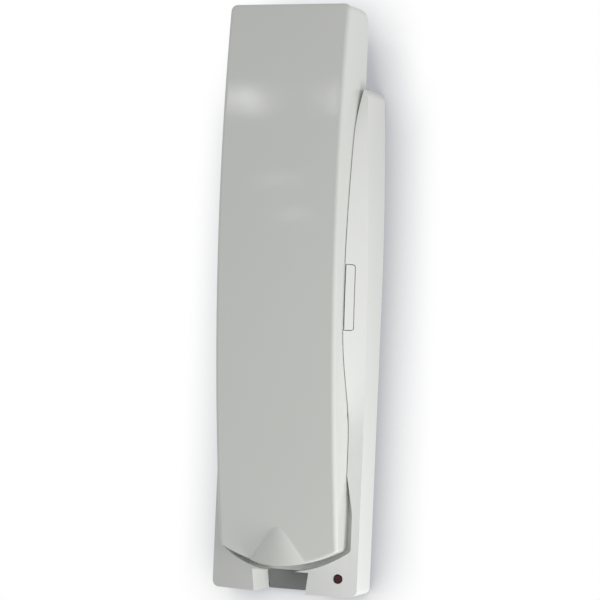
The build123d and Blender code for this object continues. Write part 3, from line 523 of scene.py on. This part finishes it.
def dress_nodes():
    """Material for every node: its own, or else the one of its slot in the record"""
    handset_white = moulded_plastic("handset white", (0.79, 0.805, 0.77), 0.085, gap_shade=0.05)
    board_heads = head_places("board_screws", BOARD_HEAD_RADIUS)
    shell_heads = head_places("handset_screws", SHELL_HEAD_RADIUS)
    by_slot = {
        "white_plastic": moulded_plastic("base white", (0.825, 0.835, 0.81), 0.15, gap_shade=0.05),
        "dark_plastic": sparked_plastic("dark plastic", (0.235, 0.248, 0.241), 0.46),
        "board": circuit_board("board", (0.07, 0.24, 0.12)),
        "steel": turned_steel("steel", 0.32),
        "terminal_green": moulded_plastic("terminal green", (0.10, 0.36, 0.20), 0.42, variation=0.06),
        "lamp_red": lamp_lens("lamp red", (0.062, 0.012, 0.017)),
        "natural_nylon": nylon("natural nylon", (0.85, 0.83, 0.76)),
        "contact_gold": gold_wires("contact gold", (0.83, 0.66, 0.30)),
        "capacitor_sleeve": capacitor("capacitor sleeve", (0.08, 0.10, 0.22)),
        "chip_black": chip("chip black", (0.03, 0.03, 0.03)),
        "foam": foam("foam", (0.06, 0.06, 0.06)),
        "aluminium_can": spun_aluminium("aluminium can", (0.75, 0.76, 0.77)),
        "boot_rubber": rubber("boot rubber", (0.05, 0.05, 0.05)),
    }
    by_node = {
        "handset_front": handset_white,
        "handset_rear": handset_white,
        "board_screws": turned_steel("board screw steel", 0.30, board_heads),
        "handset_screws": turned_steel("shell screw steel", 0.30, shell_heads),
        "terminal_screws": slotted_steel("terminal screw steel", 0.30),
    }
    for name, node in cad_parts.items():
        slot = node.data.materials[0].name
        node.data.materials[0] = by_node.get(name) or by_slot[slot]


def looked_at(graph):
    """1 for rays of the camera, of gloss and of transmission, and 0 for the others"""
    rays = graph.add("ShaderNodeLightPath").outputs
    seen = graph.math("MAXIMUM", rays["Is Camera Ray"], rays["Is Glossy Ray"])
    return graph.math("MAXIMUM", seen, rays["Is Transmission Ray"])


def light_world():
    """World: the fill and the glow for diffuse light, plain white where it is seen or mirrored"""
    world = bpy.data.worlds.new("studio")
    bpy.context.scene.world = world
    world.use_nodes = True
    graph = Graph(world.node_tree)
    direction = graph.add("ShaderNodeTexCoord").outputs["Generated"]
    facing = graph.add("ShaderNodeVectorMath", {"operation": "DOT_PRODUCT"})
    graph.put(facing.inputs[0], direction)
    graph.put(facing.inputs[1], GLOW_FROM)
    toward = graph.math("MAXIMUM", facing.outputs["Value"], 0.0)
    level = graph.math("ADD", graph.math("MULTIPLY", toward, GLOW_LEVEL), FILL_LEVEL)
    strength = graph.add("ShaderNodeMix", Factor=looked_at(graph), A=level, B=1.0).outputs[0]
    background = graph.add("ShaderNodeBackground", Color=gray(1.0), Strength=strength)
    graph.end("ShaderNodeOutputWorld", background)


def add_wall():
    """Wall behind the base, shown from its front alone, which receives no light; the soft shadow round
    the object is painted on it
    """
    corners = [(-1, -1), (1, -1), (1, 1), (-1, 1)]
    mesh = bpy.data.meshes.new("wall")
    mesh.from_pydata([(x * WALL_HALF, WALL_GAP, z * WALL_HALF) for x, z in corners], [], [(0, 1, 2, 3)])
    wall = bpy.data.objects.new("wall", mesh)
    bpy.context.scene.collection.objects.link(wall)
    paint, graph = start_material("wall paint")[:2]
    mesh.materials.append(paint)
    # Painted shadow: the wall's white darkens to a blue-grey where the object is near, in place of a
    # cast shadow
    reach = graph.add("ShaderNodeAmbientOcclusion", {"samples": WALL_SAMPLES}, Distance=SHADE_REACH)
    shade = graph.spread(reach.outputs["AO"], SHADE_FULL, SHADE_NONE, 0.0, 1.0)
    painted_shadow_glow = graph.add("ShaderNodeEmission", Color=graph.blend(shade, SHADE_DEEP, gray(1.0)), Strength=1.0)
    clear = graph.add("ShaderNodeBsdfTransparent")
    rear = graph.add("ShaderNodeNewGeometry").outputs["Backfacing"]
    shown = graph.math("MULTIPLY", looked_at(graph), graph.math("SUBTRACT", 1.0, rear))
    surface = graph.add("ShaderNodeMixShader")
    for socket, value in zip(surface.inputs, (shown, clear.outputs[0], painted_shadow_glow.outputs[0])):
        graph.put(socket, value)
    graph.end("ShaderNodeOutputMaterial", surface)


photo_camera()
dress_nodes()
light_world()
add_lamp(LOW_LAMP_PLACE, LOW_LAMP_WATTS)
add_lamp(SIDE_LAMP_PLACE, SIDE_LAMP_WATTS)

# Seen on the handset's front: a window near its left edge, the slit of another at its right edge,
# and two faint streaks lower down
add_window(Vector((-0.293, -0.662, 0.221)), width=0.017, height=0.032, lean=6, panes=3, strength=11)
add_window(Vector((-0.234, -0.672, 0.226)), width=0.003, height=0.039, lean=0, panes=1, strength=13)
add_window(Vector((-0.269, -0.680, 0.109)), width=0.017, height=0.006, lean=22, panes=1, strength=5)
add_window(Vector((-0.257, -0.683, 0.061)), width=0.013, height=0.006, lean=22, panes=1, strength=5)

add_wall()

bpy.context.scene.view_settings.view_transform = "Standard"
